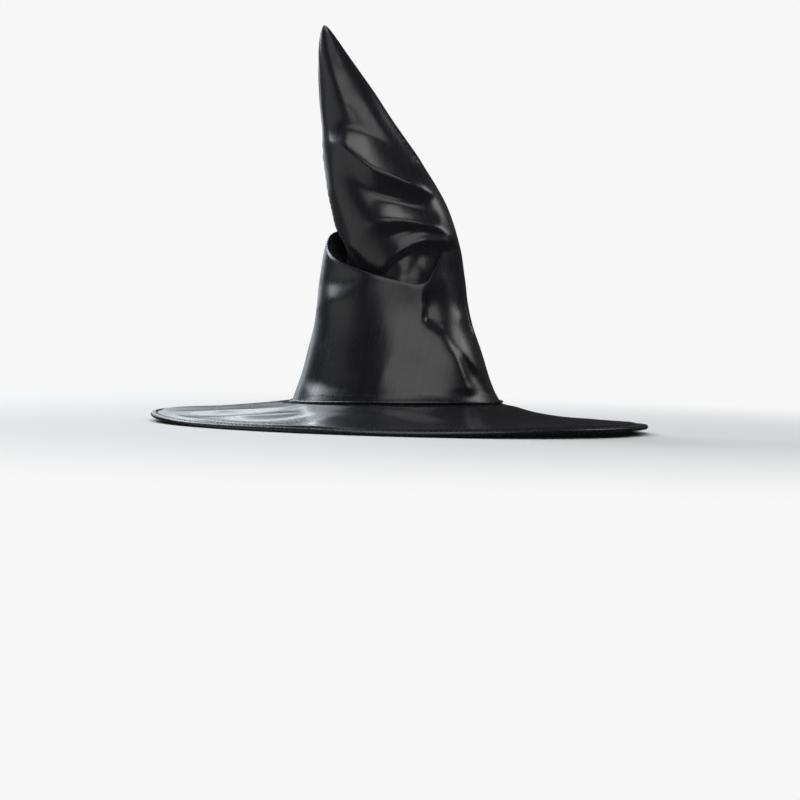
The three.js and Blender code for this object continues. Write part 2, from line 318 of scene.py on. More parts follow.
def stretched(crisp, soft, fixed, step, first_column, first_row, rounds):
    """A height map that is nothing where it's fixed, with rounded soft lines and sharp crisp ones."""
    place = (step, first_column, first_row)
    lift = np.zeros(fixed.shape)
    held = fixed.copy()
    draw_lines(crisp + soft, lift, held, *place)
    relax(lift, ~held, rounds)
    lift = blur(lift, 14)
    lift[fixed] = 0
    target = np.zeros(fixed.shape)
    ridges = np.zeros(fixed.shape, bool)
    draw_lines(crisp, target, ridges, *place)
    edge = np.where(ridges, target - lift, 0.0)
    relax(edge, ~(ridges | fixed), 60, keep=0.97)
    return lift + blur(edge, 2)


def sample_map(lift, column, row):
    """A height map's value between its cells."""
    column = np.clip(column, 0, lift.shape[1] - 1.001)
    row = np.clip(row, 0, lift.shape[0] - 1.001)
    c, r = column.astype(int), row.astype(int)
    fc, fr = column - c, row - r
    low = lift[r, c] * (1 - fc) + lift[r, c + 1] * fc
    high = lift[r + 1, c] * (1 - fc) + lift[r + 1, c + 1] * fc
    return low * (1 - fr) + high * fr


def relief_map(crisp, soft, left_wall):
    """How far the cloth stands out, over a flat front view of the crown."""
    across, height = np.meshgrid(RELIEF_ACROSS, RELIEF_HEIGHT)
    left = smooth_curve(left_wall, RELIEF_HEIGHT)[:, None]
    right = smooth_curve(RIGHT_WALL, RELIEF_HEIGHT)[:, None]
    beside = np.abs(across - (left + right) / 2) > 0.97 * (right - left) / 2
    fixed = beside | (height < CROWN_FOOT + 2) | (height > APEX_HEIGHT - 8)
    return stretched(crisp, soft, fixed, RELIEF_STEP, -RELIEF_REACH, 0, 700)


def sample_relief(lift, across, height):
    return sample_map(lift, (across + RELIEF_REACH) / RELIEF_STEP, height / RELIEF_STEP)


RELIEFS = {
    ("front", "upper"): relief_map(FRONT_UPPER, FRONT_UPPER_SOFT, UPPER_LEFT),
    ("front", "lower"): relief_map(FRONT_LOWER, FRONT_LOWER_SOFT, LEFT_WALL),
    ("back", "upper"): relief_map(BACK_UPPER, BACK_UPPER_SOFT, UPPER_LEFT),
    ("back", "lower"): relief_map(BACK_LOWER, BACK_LOWER_SOFT, LEFT_WALL),
}


def crown_creases(points, headings, upper_share):
    """How far the creases lift each point of the crown."""
    across = points[..., :2] @ RIGHT
    height = points[..., 2]
    front = np.cos(headings - FRONT_HEADING) > 0
    total = np.zeros(across.shape)
    for layer, weight in (("upper", upper_share), ("lower", 1 - upper_share)):
        seen = sample_relief(RELIEFS["front", layer], across, height)
        hidden = sample_relief(RELIEFS["back", layer], across, height)
        total += np.where(front, seen, hidden) * weight
    return total


def soft_waves(points, seed, count, longest, shortest, size):
    """Gentle random waves over a surface, the same each run."""
    random = np.random.default_rng(seed)
    total = np.zeros(points.shape[:-1])
    for _ in range(count):
        direction = random.normal(size=3)
        direction /= np.linalg.norm(direction)
        length = longest * (shortest / longest) ** random.random()
        phase = random.random() * TURN
        total += np.sin(points @ direction * TURN / length + phase) * length / longest
    return total * size / math.sqrt(count)


def outward_from_axis(heading):
    return np.stack([np.cos(heading), np.sin(heading), np.zeros_like(heading)], axis=-1)


def crown_cloth_points(headings, rows):
    """The crown's satin, with its fold, creases and waves, row by row from the foot to the point."""
    height, share, rim, fold = crown_paths(headings, rows)
    heading = np.broadcast_to(headings, height.shape)
    gap = smooth_curve(TUCK_GAP, front_degrees(headings))
    lower = crown_wall(heading, height, LEFT_WALL)
    tucked = fold * gap * (1 - smoothstep(height - rim, -4, 16))
    upper = crown_wall(heading, height, UPPER_LEFT, depth=tucked)
    points = lower * (1 - share[..., None]) + upper * share[..., None]
    foot_fade = smoothstep(height, CROWN_FOOT, CROWN_FOOT + 14)
    top_fade = 1 - smoothstep(height, APEX_HEIGHT - 40, APEX_HEIGHT - 6)
    lift = crown_creases(points, heading, share) + soft_waves(points, 4, 26, 90, 22, 0.7)
    points = points + outward_from_axis(heading) * (lift * foot_fade * top_fade)[..., None]
    return round_point(points)


def round_point(points):
    """Draws the last rows in to a small blunt tip."""
    rows = points.shape[0]
    tip = points[-1].mean(axis=0)
    last = max(int(rows * 0.02), 4)
    for i in range(last):
        share = (i + 1) / last
        row = rows - last + i
        points[row] = tip + (points[row] - tip) * math.sqrt(max(1 - share**2, 0))
    return points


def inner_wall_points(headings, heights, depth):
    """A layer that lies inside the satin: against its lower wall, then inside the tuck and the point."""
    heading, height = np.meshgrid(headings, heights)
    degrees = front_degrees(heading)
    above_rim = height - smooth_curve(RIM_HEIGHT, degrees)
    share = smoothstep(above_rim, -54, -29)
    fold = np.clip(smooth_curve(FOLD_SHARE, degrees), 0, 1)
    tucked = (1.2 + fold * smooth_curve(TUCK_GAP, degrees)) * share * (1 - smoothstep(above_rim, -2, 20))
    lower = crown_wall(heading, height, LEFT_WALL, depth=depth)
    upper = crown_wall(heading, height, UPPER_LEFT, depth=depth + tucked)
    points = lower * (1 - share[..., None]) + upper * share[..., None]
    foot_fade = smoothstep(height, CROWN_FOOT, CROWN_FOOT + 14)
    top_fade = 1 - smoothstep(height, APEX_HEIGHT - 60, APEX_HEIGHT - 20)
    lift = np.minimum(crown_creases(points, heading, share) * (foot_fade * top_fade), 1.0)
    return points + outward_from_axis(heading) * lift[..., None]


# ---------------------------------------------------------------- making meshes


def new_object(name, points, faces, material, uv=None):
    mesh = bpy.data.meshes.new(name)
    mesh.from_pydata((np.asarray(points) * MM).tolist(), [], faces)
    if uv is not None:
        layer = mesh.uv_layers.new(name="Cloth")
        corners = np.empty(len(mesh.loops), dtype=np.int32)
        mesh.loops.foreach_get("vertex_index", corners)
        layer.data.foreach_set("uv", (np.asarray(uv)[corners] * MM).ravel())
    mesh.polygons.foreach_set("use_smooth", [True] * len(mesh.polygons))
    mesh.materials.append(material)
    mesh.validate()
    mesh.update()
    thing = bpy.data.objects.new(name, mesh)
    bpy.context.scene.collection.objects.link(thing)
    return thing


def grid_faces(rows, columns, close_columns=True, close_rows=False, flip=False):
    """Quads over a grid of points listed row by row, closed round its columns or its rows."""
    faces = []
    for r in range(rows if close_rows else rows - 1):
        for c in range(columns if close_columns else columns - 1):
            a, b = r * columns + c, r * columns + (c + 1) % columns
            d, e = (r + 1) % rows * columns + c, (r + 1) % rows * columns + (c + 1) % columns
            faces.append((a, d, e, b) if flip else (a, b, e, d))
    return faces


def ring_headings(columns):
    return np.arange(columns) * TURN / columns


def cloth_uv(points):
    """Flat pattern places, in millimetres: along the thread from the foot, and round from the back."""
    steps = np.linalg.norm(np.diff(points, axis=0), axis=-1)
    along = np.vstack([np.zeros(points.shape[1]), np.cumsum(steps, axis=0)])
    columns = points.shape[1]
    turn = (np.arange(columns) / columns - 0.5) * 1.6
    slant = along[-1].mean()
    reach = slant - along * slant / along[-1]
    return np.stack([reach * np.sin(turn), -reach * np.cos(turn)], axis=-1).reshape(-1, 2)


def solid_ring(name, section_points, material, uv=None):
    """A closed band round the hat from section_points[section, column]."""
    sections, columns = section_points.shape[:2]
    faces = grid_faces(sections, columns, close_rows=True)
    return new_object(name, section_points.reshape(-1, 3), faces, material, uv)


# Cloth that crosses the hinge between these two places: its transform is baked into the mesh, in metres, and
# it follows neither.
BOTH = "base and point"


def finish_piece(piece, body, slot, *nodes):
    """Says what a piece moves with and hides the CAD nodes that it stands for. The slot is not used."""
    if body == BOTH:
        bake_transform(piece)
    else:
        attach(piece, body)
    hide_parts(*nodes)
    return piece


# ---------------------------------------------------------------- materials


def new_material(name, colour, roughness, **settings):
    material = bpy.data.materials.new(name)
    material.use_nodes = True
    shader = material.node_tree.nodes["Principled BSDF"]
    shader.inputs["Base Color"].default_value = (*colour, 1)
    shader.inputs["Roughness"].default_value = roughness
    for key, value in settings.items():
        shader.inputs[key.replace("_", " ")].default_value = value
    return material, material.node_tree, shader


def add_node(tree, kind, **values):
    node = tree.nodes.new(kind)
    for key, value in values.items():
        if key in node.inputs:
            node.inputs[key].default_value = value
        else:
            setattr(node, key, value)
    return node


def mapped(tree, source, scale):
    """Texture places from object or pattern coordinates, in metres, stretched by scale."""
    if source == "pattern":
        place = add_node(tree, "ShaderNodeUVMap", uv_map="Cloth").outputs["UV"]
    else:
        place = tree.nodes.new("ShaderNodeTexCoord").outputs["Object"]
    mapping = add_node(tree, "ShaderNodeMapping")
    mapping.inputs["Scale"].default_value = scale
    tree.links.new(place, mapping.inputs["Vector"])
    return mapping.outputs["Vector"]


def noise(tree, place, scale, detail=3.0):
    texture = add_node(tree, "ShaderNodeTexNoise", Scale=scale, Detail=detail)
    tree.links.new(place, texture.inputs["Vector"])
    return texture.outputs["Fac"]


def ranged(tree, value, low, high):
    """Spreads a 0 to 1 value over low to high."""
    spread = add_node(tree, "ShaderNodeMapRange")
    spread.inputs["To Min"].default_value = low
    spread.inputs["To Max"].default_value = high
    tree.links.new(value, spread.inputs["Value"])
    return spread.outputs["Result"]


def add_bump(tree, shader, value, distance, strength=1.0, below=None):
    bump = add_node(tree, "ShaderNodeBump", Distance=distance, Strength=strength)
    tree.links.new(value, bump.inputs["Height"])
    if below is not None:
        tree.links.new(below, bump.inputs["Normal"])
    tree.links.new(bump.outputs["Normal"], shader.inputs["Normal"])
    return bump.outputs["Normal"]


def tinted(tree, shader, value, dark, light):
    """Varies the base colour between two colours by a 0 to 1 value."""
    mix = add_node(tree, "ShaderNodeMix", data_type="RGBA")
    mix.inputs["A"].default_value = (*dark, 1)
    mix.inputs["B"].default_value = (*light, 1)
    tree.links.new(value, mix.inputs["Factor"])
    tree.links.new(mix.outputs["Result"], shader.inputs["Base Color"])


def satin_material(name, thread_depth, glossiest, dullest, sheen):
    """Black satin: long floating threads one way, so the gloss is smooth and slightly streaked."""
    material, tree, shader = new_material(
        name, (0.010, 0.010, 0.012), 0.3, Specular_IOR_Level=0.55, Sheen_Weight=sheen,
        Sheen_Roughness=0.35, Anisotropic=0.35,
    )
    threads = noise(tree, mapped(tree, "pattern", (1, 0.03, 1)), 1400, 2)
    streaks = noise(tree, mapped(tree, "pattern", (1, 0.06, 1)), 260, 3)
    cloudy = noise(tree, mapped(tree, "object", (1, 1, 1)), 28, 3)
    tree.links.new(ranged(tree, streaks, glossiest, dullest), shader.inputs["Roughness"])
    tinted(tree, shader, cloudy, (0.0075, 0.0075, 0.009), (0.013, 0.013, 0.016))
    first = add_bump(tree, shader, threads, thread_depth, 0.5)
    add_bump(tree, shader, cloudy, 0.0008, 0.35, below=first)
    return material


def lining_material():
    """Thin plain-weave lining: fine crossed threads and a dull, even surface."""
    material, tree, shader = new_material("black_lining", (0.011, 0.011, 0.012), 0.7, Sheen_Weight=0.1)
    place = mapped(tree, "object", (1, 1, 1))
    fine = noise(tree, place, 900, 2)
    broad = noise(tree, place, 45, 4)
    tinted(tree, shader, broad, (0.008, 0.008, 0.009), (0.016, 0.016, 0.017))
    first = add_bump(tree, shader, fine, 0.0001, 0.5)
    add_bump(tree, shader, broad, 0.0015, 0.5, below=first)
    return material


def ribbon_material():
    """Grosgrain ribbon: close ribs across the band."""
    material, tree, shader = new_material("black_ribbon", (0.012, 0.012, 0.013), 0.55, Sheen_Weight=0.15)
    ribs = add_node(tree, "ShaderNodeTexWave", Scale=190.0, bands_direction="Z")
    tree.links.new(mapped(tree, "object", (0, 0, 1)), ribs.inputs["Vector"])
    fuzz = noise(tree, mapped(tree, "object", (1, 1, 1)), 700, 2)
    tinted(tree, shader, fuzz, (0.009, 0.009, 0.010), (0.018, 0.018, 0.020))
    first = add_bump(tree, shader, ribs.outputs["Fac"], 0.0003, 0.6)
    add_bump(tree, shader, fuzz, 0.0001, 0.4, below=first)
    return material


def felt_material(name, colour):
    """Matted fibres of a nonwoven or foam layer."""
    material, tree, shader = new_material(name, colour, 0.95, Sheen_Weight=0.2)
    fibres = noise(tree, mapped(tree, "object", (1, 1, 1)), 600, 5)
    lighter = tuple(c * 1.8 for c in colour)
    tinted(tree, shader, fibres, colour, lighter)
    add_bump(tree, shader, fibres, 0.0004, 0.7)
    return material


def thread_material():
    material, tree, shader = new_material("black_thread", (0.012, 0.012, 0.013), 0.45, Sheen_Weight=0.2)
    twist = noise(tree, mapped(tree, "object", (1, 1, 1)), 1500, 2)
    tinted(tree, shader, twist, (0.008, 0.008, 0.009), (0.022, 0.022, 0.024))
    add_bump(tree, shader, twist, 0.00008, 0.6)
    return material


def steel_material():
    material, tree, shader = new_material("wire_steel", (0.45, 0.46, 0.48), 0.35, Metallic=1.0)
    drawn = noise(tree, mapped(tree, "object", (1, 1, 1)), 500, 4)
    tree.links.new(ranged(tree, drawn, 0.25, 0.45), shader.inputs["Roughness"])
    tinted(tree, shader, drawn, (0.38, 0.39, 0.41), (0.52, 0.53, 0.55))
    return material


def label_material():
    """A blank woven label."""
    material, tree, shader = new_material("label_cloth", (0.72, 0.72, 0.7), 0.7, Sheen_Weight=0.1)
    weave = add_node(tree, "ShaderNodeTexWave", Scale=500.0, bands_direction="Z")
    tree.links.new(mapped(tree, "object", (1, 1, 1)), weave.inputs["Vector"])
    tinted(tree, shader, weave.outputs["Fac"], (0.66, 0.66, 0.64), (0.76, 0.76, 0.74))
    add_bump(tree, shader, weave.outputs["Fac"], 0.0001, 0.5)
    return material


SATIN = satin_material("black_satin", 0.00006, 0.2, 0.34, 0.04)
BRIM_SATIN = satin_material("black_satin_brim", 0.00002, 0.2, 0.28, 0.03)
LINING = lining_material()
RIBBON = ribbon_material()
FELT = felt_material("stiffener_felt", (0.02, 0.02, 0.021))
FOAM = felt_material("brim_foam", (0.015, 0.015, 0.016))
THREAD = thread_material()
STEEL = steel_material()
LABEL = label_material()

# ---------------------------------------------------------------- the pieces


def make_crown():
    points = crown_cloth_points(ring_headings(CROWN_COLUMNS), CROWN_ROWS)
    faces = grid_faces(CROWN_ROWS, CROWN_COLUMNS)
    piece = new_object("crown_satin", points.reshape(-1, 3), faces, SATIN, cloth_uv(points))
    return finish_piece(piece, BOTH, "black_satin", "crown_lower", "crown_fold", "crown_tip")


def make_brim_cloth(name, node, height, lift_ripples, flip):
    rows, columns = 100, 600
    heading = np.broadcast_to(ring_headings(columns), (rows, columns))
    shares = np.linspace(0, share_inside_edge(1.0), rows)
    outward = np.broadcast_to(shares[:, None], (rows, columns))
    points = brim_point(heading, outward, height)
    points[..., 2] += brim_ripples(heading, outward) * lift_ripples
    uv = points[..., :2].reshape(-1, 2)
    faces = grid_faces(rows, columns, flip=flip)
    piece = new_object(name, points.reshape(-1, 3), faces, BRIM_SATIN, uv)
    return finish_piece(piece, "base", "black_satin", node)


# Ridges and hollows of the brim's satin, as lines of (across, towards the camera, lift).
BRIM_CREASES = [
    [(-60, 108, 1.0), (-44, 122, 2.8), (-20, 142, 4.4), (4, 160, 4.6), (26, 176, 3.2), (50, 190, 1.0)],
    [(-44, 122, 2.8), (-58, 150, 4.0), (-66, 174, 2.4)],
    [(-84, 104, 1.0), (-122, 112, 2.2), (-158, 104, 0.8)],
    [(-106, 62, 1.0), (-146, 62, 2.0), (-184, 44, 0.6)],
    [(-4, 108, 0.4), (20, 122, 1.4), (52, 140, 0.6)],
    [(104, 84, 0.4), (132, 104, 1.0), (150, 108, 0.4)],
    [(-40, -118, 1.0), (-70, -150, 2.4), (-84, -172, 0.6)],
    [(96, -90, 1.0), (132, -112, 2.2), (150, -124, 0.5)],
    [(120, -20, 0.8), (160, -30, 1.6), (188, -30, 0.4)],
]
BRIM_HOLLOWS = [
    [(-44, 106, -1.2), (-22, 114, -2.4), (8, 134, -2.2), (34, 154, -1.6), (62, 176, -0.6)],
    [(-72, 112, -0.6), (-100, 132, -1.4), (-132, 136, -0.6)],
    [(-100, 84, -0.6), (-136, 86, -1.2), (-174, 74, -0.5)],
    [(-108, 30, -0.4), (-150, 28, -1.0), (-192, 12, -0.4)],
    [(116, 56, -0.8), (150, 64, -1.6), (176, 60, -0.5)],
    [(20, -128, -0.8), (36, -160, -2.0), (40, -184, -0.6)],
    [(-110, -60, -0.8), (-146, -84, -2.0), (-164, -96, -0.6)],
]
BRIM_STEP = 2.0
BRIM_REACH = 212


def brim_relief():
    """The brim satin's creases over a flat plan of the brim, stretched smoothly between the lines."""
    places = np.arange(-BRIM_REACH, BRIM_REACH + 0.1, BRIM_STEP)
    across, toward = np.meshgrid(places, places)
    reach = np.hypot(across, toward)
    fixed = (reach < 99) | (reach > 200)
    return stretched(BRIM_CREASES, BRIM_HOLLOWS, fixed, BRIM_STEP, -BRIM_REACH, -BRIM_REACH, 400)


BRIM_LIFT = brim_relief()


def brim_ripples(heading, outward):
    """Shallow pulls in the brim's satin: creases, and finer ones from the crown's foot."""
    spread = outward * (1 - outward) * 4
    radial = np.sin(9 * heading + 2.2 * outward + 0.6) + 0.6 * np.sin(17 * heading - 3.1 * outward + 2.0)
    fine = np.sin(41 * heading + 6 * outward) * np.sin(3 * heading + 1.7) * (1 - outward) ** 2
    points = brim_point(heading, outward, 0.0)
    column = (points[..., :2] @ RIGHT + BRIM_REACH) / BRIM_STEP
    row = (points[..., :2] @ TOWARD + BRIM_REACH) / BRIM_STEP
    crease = sample_map(BRIM_LIFT, column, row)
    ripple = 0.16 * radial * spread + 0.12 * fine + crease
    held = smoothstep(outward, 0, 0.12) * (1 - smoothstep(outward, 0.9, 0.955))
    return np.maximum(1.9 + ripple, 0.1) * held


def make_brim_core():
    """The foam sheet between the brim's two satins, rounded at its edges."""
    columns, rows = 360, 50
    middle, half, edge_half = 1.9, 0.65, 0.25
    heading = ring_headings(columns)
    outwards = [np.full(columns, share) for share in np.linspace(0.004, share_inside_edge(4.6), rows)]
    halves = [edge_half] + [half] * (rows - 2) + [edge_half]
    layers = list(zip(outwards, halves))
    top = [brim_point(heading, outward, middle + rise) for outward, rise in layers]
    bottom = [brim_point(heading, outward, middle - rise) for outward, rise in layers[::-1]]
    piece = solid_ring("brim_foam_sheet", np.array(bottom + top)[::-1], FOAM)
    return finish_piece(piece, "base", "brim_foam", "brim_core")


def make_binding():
    """The folded strip round the brim's edge, with the small puckers its stitches pull in."""
    columns = 720
    heading = ring_headings(columns)
    half = BINDING_THICK / 2
    cloth = 0.3
    bend = np.linspace(-TURN / 4, TURN / 4, 9)
    outside = [(-BINDING_WIDTH, -half), (-4.2, -half), (-3.0, -half)]
    outside += [(half * (math.cos(a) - 1), half * math.sin(a)) for a in bend]
    outside += [(-3.0, half), (-4.2, half), (-BINDING_WIDTH, half)]
    inside = [(x - (cloth if x > -2.5 else 0), z * (1 - cloth / half)) for x, z in reversed(outside)]
    section = np.array(outside + inside)
    pucker = 0.12 * np.sin(heading * 290) * np.sin(heading * 7 + 1) + 0.1 * np.sin(heading * 173 + 2)
    rows = []
    for x, z in section:
        flat = smoothstep(-x, 0.5, 2.0)
        reach = BRIM_RADIUS + x - 0.12 * (1 - flat) * (1 + np.sin(heading * 96 + 1.5)) / 2
        rise = half + z - np.sign(z) * np.abs(pucker) * flat
        rows.append(np.stack([reach * np.cos(heading), reach * np.sin(heading),
                              rise + brim_climb(heading, np.ones(columns))], axis=-1))
    points = np.array(rows)
    around = np.broadcast_to(heading * BRIM_RADIUS, points.shape[:2])
    inward = np.broadcast_to(section[:, :1], points.shape[:2])
    uv = np.stack([around, inward], axis=-1)
    piece = solid_ring("binding_satin", points, SATIN, uv.reshape(-1, 2))
    return finish_piece(piece, "base", "black_satin", "edge_binding")


def make_piping():
    """The thin raised cord round the crown's foot."""
    columns, sides = 480, 10
    heading = ring_headings(columns)
    rows = []
    for i in range(sides):
        turn = i * TURN / sides
        swell = 1.0 + 0.05 * np.sin(heading * 60)
        depth = -1.2 - swell * math.cos(turn)
        points = crown_wall(heading, np.full(columns, CROWN_FOOT + 0.9), LEFT_WALL, depth=depth)
        points[:, 2] += swell * math.sin(turn)
        rows.append(points)
    points = np.array(rows)
    along = np.broadcast_to(heading * 95, points.shape[:2])
    across = np.broadcast_to(np.arange(sides)[:, None] * 0.6, points.shape[:2])
    uv = np.stack([along, across], axis=-1)
    piece = solid_ring("foot_piping", points, SATIN, uv.reshape(-1, 2))
    return finish_piece(piece, "base", "black_satin", "base_piping")


def make_wall_layer(name, node, slot, material, low, high, depth, thickness, rows):
    """A closed ring of cloth inside the crown between two heights."""
    headings = ring_headings(360)
    heights = np.linspace(low, high, rows)
    outer = inner_wall_points(headings, heights, depth)
    inner = inner_wall_points(headings, heights[::-1], depth + thickness)
    piece = solid_ring(name, np.concatenate([outer, inner]), material)
    return finish_piece(piece, "base", slot, node)


def make_lining():
    """One thin cone of lining from the foot to the point."""
    columns, rows = 360, 200
    heights = CROWN_FOOT + (APEX_HEIGHT - 14 - CROWN_FOOT) * np.linspace(0, 1, rows)
    points = inner_wall_points(ring_headings(columns), heights, LINING_DEPTH)
    points = round_point(points)
    piece = new_object("lining_cloth", points.reshape(-1, 3), grid_faces(rows, columns), LINING)
    return finish_piece(piece, BOTH, "black_lining", "lining_lower", "lining_fold", "lining_tip")


def make_wall_strip(name, node, slot, material, low, high, depth, thickness, heading, width,
                    body="base", rows=60):
    """A strip of cloth up the inside of the crown, rounded at its edges."""
    columns = 9
    heights = np.linspace(low, high, rows)
    radius = FOOT_HALF_Y * (1 - 0.6 * (low + high) / 2 / APEX_HEIGHT)
    headings = heading + np.linspace(-0.5, 0.5, columns) * width / radius
    outer = inner_wall_points(headings, heights, depth)
    inner = inner_wall_points(headings, heights, depth + thickness)
    points = np.concatenate([outer, inner[:, ::-1]], axis=1)
    faces = grid_faces(rows, 2 * columns)
    bottom = tuple(reversed(range(2 * columns)))
    top = tuple((rows - 1) * 2 * columns + i for i in range(2 * columns))
    piece = new_object(name, points.reshape(-1, 3), faces + [bottom, top], material)
    return finish_piece(piece, body, slot, node)


def capsules(name, centres, directions, length, radius, material):
    """One mesh of many short rounded stitches."""
    profile = [(-0.5, 0.0), (-0.44, 0.6), (-0.2, 1.0), (0.2, 1.0), (0.44, 0.6), (0.5, 0.0)]
    sides = 6
    points, faces = [], []
    for centre, along in zip(centres, directions):
        side = np.cross(along, (0, 0, 1.0))
        side /= np.linalg.norm(side)
        up = np.cross(side, along)
        base = len(points)
        for share, width in profile:
            for i in range(sides):
                turn = i * TURN / sides
                reach = side * math.cos(turn) + up * math.sin(turn)
                points.append(centre + along * share * length + reach * max(width, 0.05) * radius)
        for ring in range(len(profile) - 1):
            for i in range(sides):
                a, b = base + ring * sides + i, base + ring * sides + (i + 1) % sides
                faces.append((a, b, b + sides, a + sides))
        faces.append(tuple(base + i for i in reversed(range(sides))))
        faces.append(tuple(base + (len(profile) - 1) * sides + i for i in range(sides)))
    return new_object(name, np.array(points), faces, material)


def make_stitches(name, node, route, pitch, length, radius):
    """Stitches set evenly along a closed route of points."""
    loop = np.vstack([route, route[:1]])
    steps = np.linalg.norm(np.diff(loop, axis=0), axis=1)
    travelled = np.concatenate([[0], np.cumsum(steps)])
    count = round(travelled[-1] / pitch)
    places = np.arange(count) * travelled[-1] / count
    ahead = (places + 0.5) % travelled[-1]
    centres = np.stack([np.interp(places, travelled, loop[:, i]) for i in range(3)], axis=-1)
    onward = np.stack([np.interp(ahead, travelled, loop[:, i]) for i in range(3)], axis=-1)
    directions = onward - centres
    directions /= np.linalg.norm(directions, axis=1)[:, None]
    piece = capsules(name, centres, directions, length, radius, THREAD)
    return finish_piece(piece, "base", "black_thread", node)


def make_all_stitches():
    """Three rows: round the brim's edge, round the crown's foot and along the sweatband."""
    heading = ring_headings(720)
    ones = np.ones(720)
    edge = brim_point(heading, ones * share_inside_edge(4.0), BINDING_THICK + 0.12)
    make_stitches("edge_stitches", "edge_stitching", edge, 4.2, 3.0, 0.28)
    foot = crown_wall(heading, ones * (CROWN_FOOT + 6.5), LEFT_WALL, depth=-0.12)
    make_stitches("foot_stitches", "crown_stitching", foot, 4.0, 2.8, 0.2)
    band = crown_wall(heading, ones * (BRIM_RISE + 1.6), LEFT_WALL, depth=4.3)
    make_stitches("band_stitches", "sweatband_stitching", band, 4.5, 3.2, 0.3)


def paint_cad_node(node, material):
    """Gives a CAD node that stays its detailed material."""
    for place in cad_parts[node].material_slots:
        place.material = material


def make_insides():
    """Everything inside the crown's satin, from the stiffener in to the label."""
    back = math.radians(90)
    beside_back = math.radians(84)
    tape_depth = LINING_DEPTH + 0.5
    make_wall_layer("stiffener_layer", "crown_stiffener", "stiffener_felt", FELT,
                    CROWN_FOOT, STIFFENER_TOP, 0.7, 0.8, 46)
    make_lining()
    make_wall_layer("seam_tape_ribbon", "seam_tape", "black_ribbon", RIBBON,
                    CROWN_FOOT + 0.3, CROWN_FOOT + 12, tape_depth, 0.4, 10)
    make_sweatband()
    make_wall_strip("back_tape_foot", "back_tape_lower", "black_ribbon", RIBBON,
                    50.5, 111, tape_depth, 0.5, back, 9)
    make_wall_strip("back_tape_point", "back_tape_tip", "black_ribbon", RIBBON,
                    167.5, 250, tape_depth, 0.5, back, 7, body="point")
    make_wall_strip("blank_label", "care_label", "label_cloth", LABEL,
                    CROWN_FOOT + 8, CROWN_FOOT + 24, SWEATBAND_DEPTH + 1.5, 0.4, beside_back, 14, rows=16)


def make_sweatband():
    """The ribbed band that touches the head: rolled edges, a soft swell and small gathers."""
    columns = 480
    headings = ring_headings(columns)
    low, high = BRIM_RISE + 0.6, CROWN_FOOT + 30
    outer, inner = [], []
    for share in np.linspace(0, 1, 26):
        height = np.array([low + (high - low) * share])
        edge = math.sqrt(max(1 - (2 * share - 1) ** 8, 0))
        swell = 0.25 * math.sin(math.pi * share)
        gather = 0.22 * np.sin(headings * 31 + 1) * np.sin(headings * 5) * (0.3 + share)
        half = 0.12 + 0.33 * edge
        middle = SWEATBAND_DEPTH + 0.45 + swell + np.maximum(gather, -0.1)
        outer.append(inner_wall_points(headings, height, middle - half)[0])
        inner.append(inner_wall_points(headings, height, middle + half)[0])
    piece = solid_ring("sweatband_ribbon", np.array(outer + inner[::-1]), RIBBON)
    return finish_piece(piece, "base", "black_ribbon", "sweatband")


# ---------------------------------------------------------------- the camera, the lights and the floor

CAMERA_ELEVATION = math.radians(1.75)
CAMERA_DISTANCE = 2.82
CAMERA_TARGET = (0.0, 0.0, 0.0222)
CAMERA_ROLL = math.radians(1.6)
LIGHT_TARGET = (0.0, 0.0, 0.13)
FLOOR_HEIGHT = -0.0005
BACKGROUND = (0.93, 0.93, 0.93)
# What the satin mirrors: a dark room, a wall behind the hat, and a glow low on the left.
ROOM_LIGHT = 0.003
WALL_LIGHT = 0.02
BOUNCE_LIGHT = 0.55
BOUNCE_TURN = math.radians(80)
BOUNCE_DROP = -0.3
WHITE = (1.0, 1.0, 1.0)
COOL = (0.86, 0.93, 1.0)
# Each light's name, degrees round from the camera's side, elevation, distance, width, height, power
# and colour.
SOFTBOXES = [
    ("key", 16, 38, 1.8, 2.5, 0.9, 12.5, WHITE),
    ("left_high", -128, 33, 1.8, 1.0, 1.1, 22, COOL),
    ("left_back", -158, 6, 2.2, 1.0, 0.5, 2, COOL),
    ("back_high", -163, 20, 2.0, 0.8, 0.4, 4, COOL),
    ("front_low", -2, 9, 1.8, 1.1, 0.5, 3.2, WHITE),
    ("right_low", 114, 27, 1.8, 0.9, 0.5, 3.4, WHITE),
    ("top", 0, 88, 1.7, 1.2, 1.2, 12, WHITE),
]


def add_camera():
    camera_data = bpy.data.cameras.new("camera")
    camera_data.sensor_width = 36
    camera_data.lens = 150
    camera = bpy.data.objects.new("camera", camera_data)
    bpy.context.scene.collection.objects.link(camera)
    bpy.context.scene.camera = camera
    toward = Vector((*(TOWARD * math.cos(CAMERA_ELEVATION)), math.sin(CAMERA_ELEVATION)))
    camera.location = Vector(CAMERA_TARGET) + toward * CAMERA_DISTANCE
    straight = (-toward).to_track_quat("-Z", "Y")
    camera.rotation_mode = "QUATERNION"
    camera.rotation_quaternion = straight @ Quaternion((0, 0, 1), CAMERA_ROLL)


def add_softbox(name, degrees, elevation, distance, width, height, power, colour):
    """A rectangular light that faces the hat."""
    light = bpy.data.lights.new(name, "AREA")
    light.shape = "RECTANGLE"
    light.size = width
    light.size_y = height
    light.energy = power
    light.color = colour
    lamp = bpy.data.objects.new(name, light)
    heading = FRONT_HEADING + math.radians(degrees)
    rise = math.radians(elevation)
    away = Vector((math.cos(heading) * math.cos(rise), math.sin(heading) * math.cos(rise), math.sin(rise)))
    lamp.location = Vector(LIGHT_TARGET) + away * distance
    lamp.rotation_mode = "QUATERNION"
    lamp.rotation_quaternion = (-away).to_track_quat("-Z", "Y")
    lamp.visible_camera = False
    bpy.context.scene.collection.objects.link(lamp)


